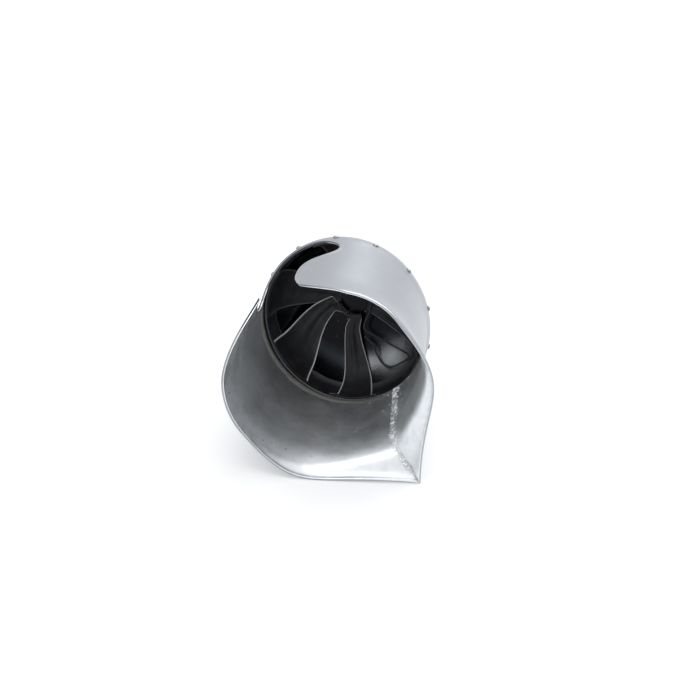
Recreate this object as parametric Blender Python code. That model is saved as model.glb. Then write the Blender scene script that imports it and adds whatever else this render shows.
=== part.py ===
"""Steel barbute with an open face and a flared, keeled tail, lying on its back and right side.

The helmet is drawn upright in its own frame and then laid down as one group. Upright, +Z is the
crown, -Y is the face and +X is the wearer's left. An angle round the helmet is 0 at the middle of
the face, 90 at the wearer's left ear, -90 at the right ear and 180 at the nape. Lengths are metres.
"""

import math
from collections import namedtuple

import bmesh
import bpy
from mathutils import Matrix, Vector

# Shell
SKULL_WIDTH = 0.208
SKULL_FRONT = 0.109
SKULL_BACK = 0.1125
CROWN_HEIGHT = 0.258
WAIST_HEIGHT = 0.150
TAIL_FLARE = 0.0715
SHELL_WALL = 0.0020

# Face opening
BROW_HEIGHT = 0.166
EYE_REACH = 0.0665
CHEEK_SETBACK = 0.0325
CHEEK_TIP_HEIGHT = 0.0157
CHEEK_SWEEP = 0.0500

# Lining
SEAT_GAP = 0.0005
BAND_THICKNESS = 0.0022
BAND_BOTTOM = 0.157
BAND_FRONT_BOTTOM = 0.170
BAND_TOP = 0.198
TONGUE_THICKNESS = 0.0018
TONGUE_ROOT_WIDTH = 0.066
TONGUE_TIP_WIDTH = 0.0145
TONGUE_STAND_OFF = 0.0125
TONGUE_TAPER = 1.5
TONGUE_LIFT = 1.6
TONGUE_MIDDLES = (-145.0, -90.0, -35.0, 35.0, 90.0, 145.0)
CROWN_HOLE = 0.0170

# Rivets
RIVET_COUNT = 13
FIRST_RIVET = 6.0
RIVET_HEIGHT = 0.175
RIVET_HEAD_DIAMETER = 0.0075
RIVET_HEAD_RISE = 0.0022
RIVET_SHANK_DIAMETER = 0.0034
RIVET_CLEARANCE = 0.0003

# Lace
LACE_DIAMETER = 0.0026
LACE_STEPS = 3

# Lie of the helmet: the crown points away, this far round from +Y
HEADING = -7.8

# Mesh steps
TURN_STEPS = 56
STATION_STEPS = 2
CROWN_STEPS = 9
OUTLINE_STEPS = 4
RIVET_SIDES = 8
CURVE_STEPS = 12
SHARP_ANGLE = 35.0

# Stations of the shell from the tail's edge up to the skull's widest level. width is a share of
# half the skull's width, front of SKULL_FRONT, flare of TAIL_FLARE behind a back that is a share
# of SKULL_BACK. nape, flank and cheek are the station's heights there, as shares of WAIST_HEIGHT.
# keel blends the back of the station from an ellipse (0) to a wedge with round shoulders (1).
Station = namedtuple("Station", "width front back flare keel nape flank cheek")
STATIONS = (
    Station(1.149, 0.959, 1.000, 1.000, 1.0, 0.037, -0.207, -0.293),
    Station(1.159, 0.959, 1.000, 0.790, 0.8, 0.083, -0.177, -0.253),
    Station(1.139, 0.963, 1.000, 0.400, 0.6, 0.117, -0.103, -0.173),
    Station(1.087, 0.972, 1.000, 0.203, 0.4, 0.280, 0.103, 0.033),
    Station(1.043, 0.982, 1.000, 0.070, 0.2, 0.627, 0.520, 0.480),
    Station(1.018, 0.989, 0.984, 0.000, 0.0, 0.867, 0.800, 0.793),
    Station(1.005, 0.996, 0.956, 0.000, 0.0, 0.993, 0.973, 0.980),
    Station(1.000, 1.000, 0.984, 0.000, 0.0, 1.060, 1.053, 1.053),
    Station(1.000, 1.000, 1.000, 0.000, 0.0, 1.107, 1.107, 1.107),
)
SHELL_TOP = len(STATIONS) - 1
# Handles of the curve from ear to nape, as shares of its width and reach: for an ellipse, and for
# the wedge's flank, its width by the keel and its reach by the keel.
ROUND_HANDLE = 0.552
WEDGE_FLANK = 0.622
WEDGE_ACROSS = 0.750
WEDGE_ALONG = 0.462

# Half of the face opening seen from the front, from the middle of the brow round the eye's end to
# the cheek's tip. inner is a share of CHEEK_SETBACK, outer a share of the rest of EYE_REACH, and up
# runs from the cheek's tip (0) to the brow (1).
FacePoint = namedtuple("FacePoint", "inner outer up")
EYE_OUTLINE = (
    FacePoint(0.000, 0.000, 1.000),
    FacePoint(0.600, 0.000, 1.000),
    FacePoint(1.000, 0.100, 0.993),
    FacePoint(1.000, 0.456, 0.967),
    FacePoint(1.000, 0.735, 0.922),
    FacePoint(1.000, 0.926, 0.865),
    FacePoint(1.000, 1.000, 0.795),
    FacePoint(1.000, 0.970, 0.720),
    FacePoint(1.000, 0.824, 0.640),
    FacePoint(1.000, 0.560, 0.565),
    FacePoint(1.000, 0.290, 0.505),
    FacePoint(1.000, 0.100, 0.435),
    FacePoint(1.000, 0.010, 0.345),
    FacePoint(1.000, 0.000, 0.240),
    FacePoint(1.000, 0.035, 0.130),
    FacePoint(1.000, 0.120, 0.035),
)
# The cheek's lower edge from its tip back to the tail's edge: across is a share of half the
# skull's width, down is a share of CHEEK_SWEEP below the tip.
CheekPoint = namedtuple("CheekPoint", "across down")
CHEEK_EDGE = (
    CheekPoint(0.376, 0.040),
    CheekPoint(0.400, 0.200),
    CheekPoint(0.450, 0.385),
    CheekPoint(0.580, 0.650),
    CheekPoint(0.730, 0.860),
    CheekPoint(0.870, 0.985),
    CheekPoint(0.960, 1.090),
    CheekPoint(0.990, 1.400),
)

# Route of the crown lace: a turn round the crown hole, then a loose bight towards the nape.
# angle is in degrees round the helmet, reach and height are metres from its axis and datum.
LacePoint = namedtuple("LacePoint", "angle reach height")
LACE_ROUTE = (
    LacePoint(-165.0, 0.0215, 0.2396),
    LacePoint(-110.0, 0.0215, 0.2393),
    LacePoint(-55.0, 0.0215, 0.2394),
    LacePoint(0.0, 0.0215, 0.2395),
    LacePoint(55.0, 0.0215, 0.2394),
    LacePoint(110.0, 0.0215, 0.2393),
    LacePoint(160.0, 0.0235, 0.2390),
    LacePoint(-162.0, 0.0365, 0.2360),
    LacePoint(-175.7, 0.0531, 0.2297),
    LacePoint(174.2, 0.0729, 0.2235),
    LacePoint(165.5, 0.0950, 0.2000),
    LacePoint(176.5, 0.0943, 0.2040),
    LacePoint(-174.7, 0.0915, 0.2090),
    LacePoint(-169.2, 0.0845, 0.2165),
    LacePoint(-166.5, 0.0730, 0.2250),
    LacePoint(-166.5, 0.0600, 0.2290),
    LacePoint(-159.0, 0.0470, 0.2322),
)


def smooth_curve(points, steps):
    """Return points of a Catmull-Rom curve through tuples of any length, steps to each span."""
    curve = []
    for index, (start, end) in enumerate(zip(points, points[1:])):
        before = points[index - 1] if index else mirrored(start, end)
        after = points[index + 2] if index + 2 < len(points) else mirrored(end, start)
        for step in range(steps):
            share = step / steps
            curve.append(tuple(spline(*values, share) for values in zip(before, start, end, after)))
    curve.append(tuple(points[-1]))
    return curve


def mirrored(middle, other):
    """Return the point that lies beyond middle, as far as other lies before it."""
    return tuple(2.0 * a - b for a, b in zip(middle, other))


def spline(before, start, end, after, share):
    """Return one coordinate of a Catmull-Rom span."""
    linear = (end - before) * share
    square = (2.0 * before - 5.0 * start + 4.0 * end - after) * share ** 2
    cube = (3.0 * start - before - 3.0 * end + after) * share ** 3
    return 0.5 * (2.0 * start + linear + square + cube)


STATION_CURVE = smooth_curve(STATIONS, CURVE_STEPS)


def station_at(level):
    """Return the station at a level counted in table rows, 0 at the tail's edge."""
    place = max(0.0, min(level, SHELL_TOP)) * CURVE_STEPS
    index = min(int(place), len(STATION_CURVE) - 2)
    share = place - index
    pair = zip(STATION_CURVE[index], STATION_CURVE[index + 1])
    return Station(*(low + (high - low) * share for low, high in pair))


def plan_point(station, angle):
    """Return x, y and the share of the way back, from 0 at the ear to 1 at the nape."""
    turn = math.radians(abs(angle))
    side = -1.0 if angle < 0.0 else 1.0
    half = station.width * SKULL_WIDTH / 2
    if turn <= math.pi / 2:
        return side * half * math.sin(turn), -station.front * SKULL_FRONT * math.cos(turn), 0.0
    share = turn / (math.pi / 2) - 1.0
    rest = 1.0 - share
    flank = ROUND_HANDLE + (WEDGE_FLANK - ROUND_HANDLE) * station.keel
    across = ROUND_HANDLE + (WEDGE_ACROSS - ROUND_HANDLE) * station.keel
    along = 1.0 + (WEDGE_ALONG - 1.0) * station.keel
    out = rest ** 3 + 3 * rest ** 2 * share + 3 * rest * share ** 2 * across
    back = 3 * rest ** 2 * share * flank + 3 * rest * share ** 2 * along + share ** 3
    reach = station.back * SKULL_BACK + station.flare * TAIL_FLARE
    return side * half * out, reach * back, back


def shell_point(level, angle):
    """Return a point of the shell's outside; levels past the table's end climb to the crown."""
    if level > SHELL_TOP:
        climb = min(level - SHELL_TOP, 1.0) * math.pi / 2
        x, y, _ = plan_point(STATIONS[-1], angle)
        base = STATIONS[-1].nape * WAIST_HEIGHT
        height = base + (CROWN_HEIGHT - base) * math.sin(climb)
        return Vector((x * math.cos(climb), y * math.cos(climb), height))
    station = station_at(level)
    x, y, back = plan_point(station, angle)
    far, share = (station.nape, back ** 2)
    if abs(angle) < 90.0:
        far, share = station.cheek, math.cos(math.radians(angle)) ** 2
    return Vector((x, y, WAIST_HEIGHT * (station.flank + (far - station.flank) * share)))


def shell_normal(level, angle):
    """Return the outward normal of the shell's outside."""
    small = 0.01
    up = shell_point(level + small, angle) - shell_point(level - small, angle)
    round_ = shell_point(level, angle + small) - shell_point(level, angle - small)
    return round_.cross(up).normalized()


def skull_level(height):
    """Return the level at which the dome of the skull has this height."""
    base = STATIONS[-1].nape * WAIST_HEIGHT
    if height >= base:
        climb = math.asin(min(1.0, (height - base) / (CROWN_HEIGHT - base)))
        return SHELL_TOP + climb / (math.pi / 2)
    low, high = SHELL_TOP - 2.0, SHELL_TOP
    for _ in range(30):
        middle = (low + high) / 2
        if shell_point(middle, 180.0).z < height:
            low = middle
        else:
            high = middle
    return low


def shell_levels(low=0.0, high=SHELL_TOP + 1.0):
    """Return two levels with the shell's mesh levels between them, less any close to either."""
    table = [step / STATION_STEPS for step in range(SHELL_TOP * STATION_STEPS + 1)]
    dome = [SHELL_TOP + step / CROWN_STEPS for step in range(1, CROWN_STEPS)]
    close = 0.2 / CROWN_STEPS
    inner = [level for level in table + dome if low + close < level < high - close]
    return [low, *inner, high]


def turn_angles():
    """Return the angles of the shell's mesh, from the nape all the way round."""
    return [360.0 * step / TURN_STEPS - 180.0 for step in range(TURN_STEPS)]


def inside_point(level, angle, depth):
    """Return a point this deep under the shell's outside, along its normal."""
    return shell_point(level, angle) - shell_normal(level, angle) * depth


def material(name, colour, roughness, metallic):
    """Make a plain material."""
    made = bpy.data.materials.new(name)
    made.use_nodes = True
    shader = made.node_tree.nodes["Principled BSDF"]
    shader.inputs["Base Color"].default_value = (*colour, 1.0)
    shader.inputs["Roughness"].default_value = roughness
    shader.inputs["Metallic"].default_value = metallic
    return made


def finish(name, mesh_data, finish_material, parent):
    """Turn a bmesh into a named object under the resting group."""
    bmesh.ops.recalc_face_normals(mesh_data, faces=mesh_data.faces[:])
    mesh = bpy.data.meshes.new(name)
    mesh_data.to_mesh(mesh)
    mesh_data.free()
    mesh.shade_smooth()
    mesh.set_sharp_from_angle(angle=math.radians(SHARP_ANGLE))
    mesh.materials.append(finish_material)
    made = bpy.data.objects.new(name, mesh)
    bpy.context.scene.collection.objects.link(made)
    made.parent = parent
    return made


def add_cut(target, cutter):
    """Cut one object out of another and hide the cutter."""
    cutter.hide_render = True
    cutter.display_type = "WIRE"
    cut = target.modifiers.new(cutter.name, "BOOLEAN")
    cut.operation = "DIFFERENCE"
    cut.solver = "EXACT"
    cut.object = cutter


def skin_rings(mesh_data, rings):
    """Bridge closed rings of vertices in order with quads."""
    for low, high in zip(rings, rings[1:]):
        for index in range(len(low)):
            after = (index + 1) % len(low)
            mesh_data.faces.new((low[index], low[after], high[after], high[index]))


def make_shell(parent, steel):
    """Skull, cheeks and tail as one welded sheet of steel, thickened inwards."""
    mesh_data = bmesh.new()
    rings = [[mesh_data.verts.new(shell_point(level, angle)) for angle in turn_angles()]
             for level in shell_levels()[:-1]]
    skin_rings(mesh_data, rings)
    crown = mesh_data.verts.new((0.0, 0.0, CROWN_HEIGHT))
    for index, vertex in enumerate(rings[-1]):
        mesh_data.faces.new((vertex, rings[-1][(index + 1) % TURN_STEPS], crown))
    shell = finish("shell", mesh_data, steel, parent)
    wall = shell.modifiers.new("wall", "SOLIDIFY")
    wall.thickness = SHELL_WALL
    wall.offset = -1.0
    wall.use_even_offset = True
    return shell


def face_outline():
    """Return half of the face opening as x, z points, from the brow to below the cheek."""
    rise = BROW_HEIGHT - CHEEK_TIP_HEIGHT
    reach = EYE_REACH - CHEEK_SETBACK
    eye = [(CHEEK_SETBACK * point.inner + reach * point.outer, CHEEK_TIP_HEIGHT + rise * point.up)
           for point in EYE_OUTLINE]
    cheek = [(point.across * SKULL_WIDTH / 2, CHEEK_TIP_HEIGHT - point.down * CHEEK_SWEEP)
             for point in CHEEK_EDGE]
    return smooth_curve(eye, OUTLINE_STEPS) + smooth_curve(cheek, OUTLINE_STEPS)


def make_face_cutter(parent):
    """The face opening as a prism that reaches through the front of the shell."""
    half = face_outline()
    floor = half[-1][1] - 2 * CHEEK_SWEEP
    outline = half + [(half[-1][0], floor)]
    outline += [(-x, z) for x, z in reversed(outline[1:])]
    mesh_data = bmesh.new()
    near = [mesh_data.verts.new((x, -2 * SKULL_FRONT, z)) for x, z in outline]
    front = mesh_data.faces.new(near)
    pushed = bmesh.ops.extrude_face_region(mesh_data, geom=[front])["geom"]
    moved = [item for item in pushed if isinstance(item, bmesh.types.BMVert)]
    bmesh.ops.translate(mesh_data, verts=moved, vec=(0.0, 2 * SKULL_FRONT - SHELL_WALL, 0.0))
    return finish("face_cutter", mesh_data, bpy.data.materials[0], parent)


def rivet_frames():
    """Return a matrix on the shell's outside for each rivet, Z outwards."""
    level = skull_level(RIVET_HEIGHT)
    frames = []
    for index in range(RIVET_COUNT):
        angle = FIRST_RIVET + 360.0 * index / RIVET_COUNT
        angle = (angle + 180.0) % 360.0 - 180.0
        turn = shell_normal(level, angle).to_track_quat("Z", "Y").to_matrix().to_4x4()
        frames.append(Matrix.Translation(shell_point(level, angle)) @ turn)
    return frames


def turned(mesh_data, profile, steps):
    """Turn a profile of radius and height points, on the axis at both ends, into a solid."""
    rings = []
    for radius, height in profile[1:-1]:
        ring = []
        for step in range(steps):
            turn = math.tau * step / steps
            place = (radius * math.cos(turn), radius * math.sin(turn), height)
            ring.append(mesh_data.verts.new(place))
        rings.append(ring)
    skin_rings(mesh_data, rings)
    for ring, (_, height) in ((rings[0], profile[0]), (rings[-1], profile[-1])):
        pole = mesh_data.verts.new((0.0, 0.0, height))
        for index, vertex in enumerate(ring):
            mesh_data.faces.new((vertex, ring[(index + 1) % steps], pole))


def make_rivets(parent, steel, frames):
    """Small round-headed rivets whose shanks end flush with the lining band."""
    shank = RIVET_SHANK_DIAMETER / 2
    head = RIVET_HEAD_DIAMETER / 2
    depth = SHELL_WALL + SEAT_GAP + BAND_THICKNESS
    dome = [(head * math.cos(turn), RIVET_CLEARANCE + RIVET_HEAD_RISE * math.sin(turn))
            for turn in (math.radians(angle) for angle in (0.0, 30.0, 62.0))]
    profile = [(0.0, -depth), (shank, -depth), (shank, RIVET_CLEARANCE), *dome]
    profile.append((0.0, RIVET_CLEARANCE + RIVET_HEAD_RISE))
    rivets = []
    for index, frame in enumerate(frames):
        mesh_data = bmesh.new()
        turned(mesh_data, profile, RIVET_SIDES)
        rivet = finish(f"rivet_{index + 1:02d}", mesh_data, steel, parent)
        rivet.matrix_local = frame
        rivets.append(rivet)
    return rivets


def make_rivet_cutter(parent, frames):
    """The rivet holes through the shell and the lining band, as one cutter."""
    radius = RIVET_SHANK_DIAMETER / 2 + RIVET_CLEARANCE
    reach = SHELL_WALL + SEAT_GAP + BAND_THICKNESS
    mesh_data = bmesh.new()
    for frame in frames:
        bmesh.ops.create_cone(mesh_data, cap_ends=True, segments=12, radius1=radius,
                              radius2=radius, depth=4 * reach, matrix=frame)
    return finish("rivet_holes", mesh_data, bpy.data.materials[0], parent)


def lining_bottom(angle):
    """Return the height of the lining's lower edge, higher over the brow than at the nape."""
    front = (1.0 + math.cos(math.radians(angle))) / 2
    return BAND_BOTTOM + (BAND_FRONT_BOTTOM - BAND_BOTTOM) * front


def make_band(parent, leather):
    """Leather band against the inside of the skull, deeper at the nape than over the brow."""
    outer = SHELL_WALL + SEAT_GAP
    inner = outer + BAND_THICKNESS
    high = skull_level(BAND_TOP)
    most = len(shell_levels(skull_level(BAND_BOTTOM), high))
    mesh_data = bmesh.new()
    rings = []
    for angle in turn_angles():
        levels = shell_levels(skull_level(lining_bottom(angle)), high)
        while len(levels) < most:
            levels.insert(1, (levels[0] + levels[1]) / 2)
        corners = [(level, outer) for level in levels]
        corners += [(level, inner) for level in reversed(levels)]
        rings.append([mesh_data.verts.new(inside_point(level, angle, depth))
                      for level, depth in corners])
    skin_rings(mesh_data, rings + rings[:1])
    return finish("lining_band", mesh_data, leather, parent)


def tongue_levels(middle):
    """Return the levels of a tongue's rows, from its root on the band to the crown hole."""
    root = skull_level(lining_bottom(middle) + TONGUE_THICKNESS)
    tip_climb = math.acos((CROWN_HOLE + LACE_DIAMETER) / (SKULL_WIDTH / 2))
    return shell_levels(root, SHELL_TOP + tip_climb / (math.pi / 2))


def tongue_row(middle, level, share):
    """Return the depth and half angle of a tongue at a level and share of its length."""
    seat = SHELL_WALL + 2 * SEAT_GAP + BAND_THICKNESS
    band_level = skull_level(BAND_TOP)
    free = max(0.0, level - band_level) / (SHELL_TOP + 1.0 - band_level)
    lift = min(1.0, TONGUE_LIFT * free)
    depth = seat + (TONGUE_STAND_OFF - seat) * lift ** 2 * (3.0 - 2.0 * lift)
    width = TONGUE_ROOT_WIDTH + (TONGUE_TIP_WIDTH - TONGUE_ROOT_WIDTH) * share ** TONGUE_TAPER
    place = inside_point(level, middle, depth)
    half_angle = math.degrees(width / 2 / math.hypot(place.x, place.y))
    return depth, half_angle


def make_tongue(name, parent, leather, middle):
    """One tapering leather tongue, from the band's inner face to the crown hole."""
    mesh_data = bmesh.new()
    rings = []
    levels = tongue_levels(middle)
    for level in levels:
        share = (level - levels[0]) / (levels[-1] - levels[0])
        depth, half_angle = tongue_row(middle, level, share)
        sides = (-1.0, -0.5, 0.0, 0.5, 1.0)
        angles = [(middle + half_angle * side + 180.0) % 360.0 - 180.0 for side in sides]
        near = [inside_point(level, angle, depth) for angle in angles]
        far = [inside_point(level, angle, depth + TONGUE_THICKNESS) for angle in reversed(angles)]
        rings.append([mesh_data.verts.new(point) for point in near + far])
    skin_rings(mesh_data, rings)
    mesh_data.faces.new(rings[0])
    mesh_data.faces.new(rings[-1])
    return finish(name, mesh_data, leather, parent)


def make_lace(parent, cord):
    """The dark lace under the tongues' tips, with its loose bight."""
    route = []
    for point in LACE_ROUTE:
        turn = math.radians(point.angle)
        route.append((point.reach * math.sin(turn), -point.reach * math.cos(turn), point.height))
    curve_points = smooth_curve(route, LACE_STEPS)
    curve = bpy.data.curves.new("lace", "CURVE")
    curve.dimensions = "3D"
    curve.bevel_depth = LACE_DIAMETER / 2
    curve.bevel_resolution = 2
    curve.use_fill_caps = True
    line = curve.splines.new("POLY")
    line.points.add(len(curve_points) - 1)
    for target, point in zip(line.points, curve_points):
        target.co = (*point, 1.0)
    curve.materials.append(cord)
    lace = bpy.data.objects.new("lace", curve)
    bpy.context.scene.collection.objects.link(lace)
    lace.parent = parent
    return lace


def resting_turn(frames):
    """Return the rotation that lays the tail's tip, its right flank and one rivet on the floor."""
    rear = [angle for angle in turn_angles() if -180.0 < angle <= -90.0]
    tip = shell_point(0.0, 180.0)
    flanks = [shell_point(0.0, angle) for angle in rear]
    crest = Vector((0.0, 0.0, RIVET_CLEARANCE + RIVET_HEAD_RISE))
    heads = [frame @ crest for frame in frames]
    heads = [head for head in heads if head.x < 0.0 < head.y]
    skull = [shell_point(level, angle) for level in shell_levels(SHELL_TOP - 1.0)
             for angle in rear]
    best_lift, best_up = -math.inf, None
    for head in heads:
        for flank in flanks:
            up = (flank - tip).cross(head - tip).normalized()
            up = up if up.y < 0.0 else -up
            lift = min((point - tip).dot(up) for point in flanks + heads + skull)
            if lift > best_lift:
                best_lift, best_up = lift, up
    crown = Vector((0.0, 0.0, 1.0))
    away = (crown - best_up * crown.dot(best_up)).normalized()
    laid = Matrix((away.cross(best_up), away, best_up))
    return Matrix.Rotation(math.radians(HEADING), 3, "Z") @ laid


def lay_down(group, frames, bearing):
    """Turn the group to its resting place, centred over the origin with its lowest point at 0."""
    turn = resting_turn(frames).to_4x4()
    points = []
    for item in bearing:
        points += [turn @ item.matrix_local @ vertex.co for vertex in item.data.vertices]
    middle_x = (min(p.x for p in points) + max(p.x for p in points)) / 2
    middle_y = (min(p.y for p in points) + max(p.y for p in points)) / 2
    drop = min(p.z for p in points)
    group.matrix_world = Matrix.Translation((-middle_x, -middle_y, -drop)) @ turn


def main():
    """Build the helmet and lay it down."""
    for item in list(bpy.data.objects):
        bpy.data.objects.remove(item, do_unlink=True)
    steel = material("satin_steel", (0.62, 0.64, 0.67), 0.34, 1.0)
    rivet_steel = material("rivet_steel", (0.50, 0.51, 0.53), 0.30, 1.0)
    leather = material("black_leather", (0.020, 0.020, 0.022), 0.55, 0.0)
    cord = material("black_cord", (0.012, 0.012, 0.014), 0.60, 0.0)
    group = bpy.data.objects.new("resting_helmet", None)
    bpy.context.scene.collection.objects.link(group)
    frames = rivet_frames()
    shell = make_shell(group, steel)
    add_cut(shell, make_face_cutter(group))
    holes = make_rivet_cutter(group, frames)
    add_cut(shell, holes)
    rivets = make_rivets(group, rivet_steel, frames)
    add_cut(make_band(group, leather), holes)
    for index, middle in enumerate(TONGUE_MIDDLES):
        make_tongue(f"lining_tongue_{index + 1}", group, leather, middle)
    make_lace(group, cord)
    lay_down(group, frames, [shell, *rivets])


main()
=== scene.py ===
"""A steel barbute lying on its back and right side, seen into through the neck.

The helmet is drawn upright in its own frame and laid down by one matrix. Upright, +Z is the crown,
-Y is the face and +X is the wearer's left. An angle round the helmet is 0 at the middle of the
face, 90 at the wearer's left ear, -90 at the right ear and 180 at the nape. Lengths are metres.
"""

from __future__ import annotations

import logging
import math
import random
from dataclasses import dataclass, field
from enum import Enum
from functools import partial
from typing import Callable, NamedTuple, Sequence

import bmesh
import bpy
from bmesh.types import BMEdge, BMesh, BMVert
from bpy.types import ID, Material, Mesh, Node, NodeOutputs, NodeSocket, NodeTree, Object
from mathutils import Matrix, Vector, noise
from mathutils.bvhtree import BVHTree
from mathutils.kdtree import KDTree

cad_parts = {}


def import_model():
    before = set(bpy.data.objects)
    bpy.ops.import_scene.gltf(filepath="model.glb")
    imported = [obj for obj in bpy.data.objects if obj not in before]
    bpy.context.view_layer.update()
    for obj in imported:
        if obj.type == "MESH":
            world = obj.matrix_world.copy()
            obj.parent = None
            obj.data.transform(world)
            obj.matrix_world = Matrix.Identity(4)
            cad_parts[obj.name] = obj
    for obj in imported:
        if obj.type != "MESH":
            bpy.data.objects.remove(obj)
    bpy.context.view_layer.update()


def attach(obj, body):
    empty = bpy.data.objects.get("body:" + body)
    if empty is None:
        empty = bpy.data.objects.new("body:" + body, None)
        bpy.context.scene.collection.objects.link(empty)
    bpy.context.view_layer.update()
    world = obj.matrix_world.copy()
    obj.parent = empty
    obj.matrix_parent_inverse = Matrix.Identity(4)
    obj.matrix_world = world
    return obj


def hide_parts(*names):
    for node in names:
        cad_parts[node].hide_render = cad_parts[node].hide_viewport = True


LOG = logging.getLogger("barbute")
MILLIMETRE = 0.001
Triple = tuple[float, float, float]  # a place, or a colour in linear light

# Just short of 180 degrees, where the two flanks meet.
NAPE = 179.99

# The helmet's own frame laid down on the floor.
LAID_DOWN = Matrix((
    (0.72229, 0.67837, 0.13459, -0.00717),
    (-0.00850, -0.18588, 0.98254, -0.10807),
    (0.69154, -0.71082, -0.12849, 0.13150),
    (0.0, 0.0, 0.0, 1.0),
))


class Slot(Enum):
    """The record's material slots."""

    STEEL = "satin_steel"
    RIVET = "rivet_steel"
    LEATHER = "black_leather"
    CORD = "black_cord"


class Station(NamedTuple):
    """One level of the shell, as shares of its driving sizes."""

    width: float
    front: float
    back: float
    flare: float
    keel: float
    nape: float
    flank: float
    cheek: float


class FacePoint(NamedTuple):
    """A point of the eye's outline, as shares of the face opening's sizes."""

    inner: float
    outer: float
    up: float


class CheekPoint(NamedTuple):
    """A point of the cheek's lower edge, as shares of the skull's width and the cheek's sweep."""

    across: float
    down: float


class LacePoint(NamedTuple):
    """A point of the lace's route: degrees round the helmet, metres from its axis and datum."""

    angle: float
    reach: float
    height: float


class Spot(NamedTuple):
    """A dark pit in the steel, where the helmet lies."""

    place: Triple
    radius: float


TAIL_PITS = (
    Spot((-0.1154, -0.1147, 0.0936), 0.0016),
    Spot((-0.0726, -0.1207, 0.0355), 0.0013),
    Spot((-0.0620, -0.1162, 0.0293), 0.0011),
    Spot((-0.0449, -0.1143, 0.0210), 0.0015),
    Spot((-0.0145, -0.1155, 0.0143), 0.0009),
)
EYE_PIT = (Spot((0.0096, 0.0445, 0.2192), 0.0011),)
STATIONS = tuple(Station(*row) for row in (
    (1.149, 0.959, 1.000, 1.000, 1.0, 0.037, -0.207, -0.293),
    (1.159, 0.959, 1.000, 0.790, 0.8, 0.083, -0.177, -0.253),
    (1.139, 0.963, 1.000, 0.400, 0.6, 0.117, -0.103, -0.173),
    (1.087, 0.972, 1.000, 0.203, 0.4, 0.280, 0.103, 0.033),
    (1.043, 0.982, 1.000, 0.070, 0.2, 0.627, 0.520, 0.480),
    (1.018, 0.989, 0.984, 0.000, 0.0, 0.867, 0.800, 0.793),
    (1.005, 0.996, 0.956, 0.000, 0.0, 0.993, 0.973, 0.980),
    (1.000, 1.000, 0.984, 0.000, 0.0, 1.060, 1.053, 1.053),
    (1.000, 1.000, 1.000, 0.000, 0.0, 1.107, 1.107, 1.107),
))
EYE_OUTLINE = tuple(FacePoint(*row) for row in (
    (0.000, 0.000, 1.000),
    (0.600, 0.000, 1.000),
    (1.000, 0.100, 0.993),
    (1.000, 0.456, 0.967),
    (1.000, 0.735, 0.922),
    (1.000, 0.926, 0.865),
    (1.000, 1.000, 0.795),
    (1.000, 0.970, 0.720),
    (1.000, 0.824, 0.640),
    (1.000, 0.560, 0.565),
    (1.000, 0.290, 0.505),
    (1.000, 0.100, 0.435),
    (1.000, 0.010, 0.345),
    (1.000, 0.000, 0.240),
    (1.000, 0.035, 0.130),
    (1.000, 0.120, 0.035),
))
CHEEK_EDGE = tuple(CheekPoint(*row) for row in (
    (0.376, 0.040),
    (0.400, 0.200),
    (0.450, 0.385),
    (0.580, 0.650),
    (0.730, 0.860),
    (0.870, 0.985),
    (0.960, 1.090),
    (0.990, 1.400),
))
LACE_ROUTE = tuple(LacePoint(*row) for row in (
    (-165.0, 0.0215, 0.2396),
    (-110.0, 0.0215, 0.2393),
    (-55.0, 0.0215, 0.2394),
    (0.0, 0.0215, 0.2395),
    (55.0, 0.0215, 0.2394),
    (110.0, 0.0215, 0.2393),
    (160.0, 0.0235, 0.2390),
    (-162.0, 0.0365, 0.2360),
    (-175.7, 0.0531, 0.2297),
    (174.2, 0.0729, 0.2235),
    (165.5, 0.0950, 0.2000),
    (176.5, 0.0943, 0.2040),
    (-174.7, 0.0915, 0.2090),
    (-169.2, 0.0845, 0.2165),
    (-166.5, 0.0730, 0.2250),
    (-166.5, 0.0600, 0.2290),
    (-159.0, 0.0470, 0.2322),
))


def smooth_curve(points: Sequence[Sequence[float]], steps: int) -> list[tuple[float, ...]]:
    """Run a smooth curve through points of any number of coordinates.

    Args:
        points: The points that the curve passes through.
        steps: Points of the result to each span.

    Returns:
        The curve's points, both ends included.
    """
    curve: list[tuple[float, ...]] = []
    for index, (start, end) in enumerate(zip(points, points[1:])):
        before = points[index - 1] if index else beyond(start, end)
        after = points[index + 2] if index + 2 < len(points) else beyond(end, start)
        for step in range(steps):
            share = step / steps
            curve.append(tuple(spline(*row, share) for row in zip(before, start, end, after)))
    curve.append(tuple(points[-1]))
    return curve


def beyond(middle: Sequence[float], other: Sequence[float]) -> tuple[float, ...]:
    """Return the point as far past middle as other lies before it."""
    return tuple(2.0 * a - b for a, b in zip(middle, other))


def spline(before: float, start: float, end: float, after: float, share: float) -> float:
    """Return one coordinate of a curve's span, share of the way from start to end."""
    linear = (end - before) * share
    square = (2.0 * before - 5.0 * start + 4.0 * end - after) * share ** 2
    cube = (3.0 * start - before - 3.0 * end + after) * share ** 3
    return 0.5 * (2.0 * start + linear + square + cube)


def ease(value: float) -> float:
    """Return value held to 0..1 and eased at both ends."""
    held = max(0.0, min(1.0, value))
    return held * held * (3.0 - 2.0 * held)


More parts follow.
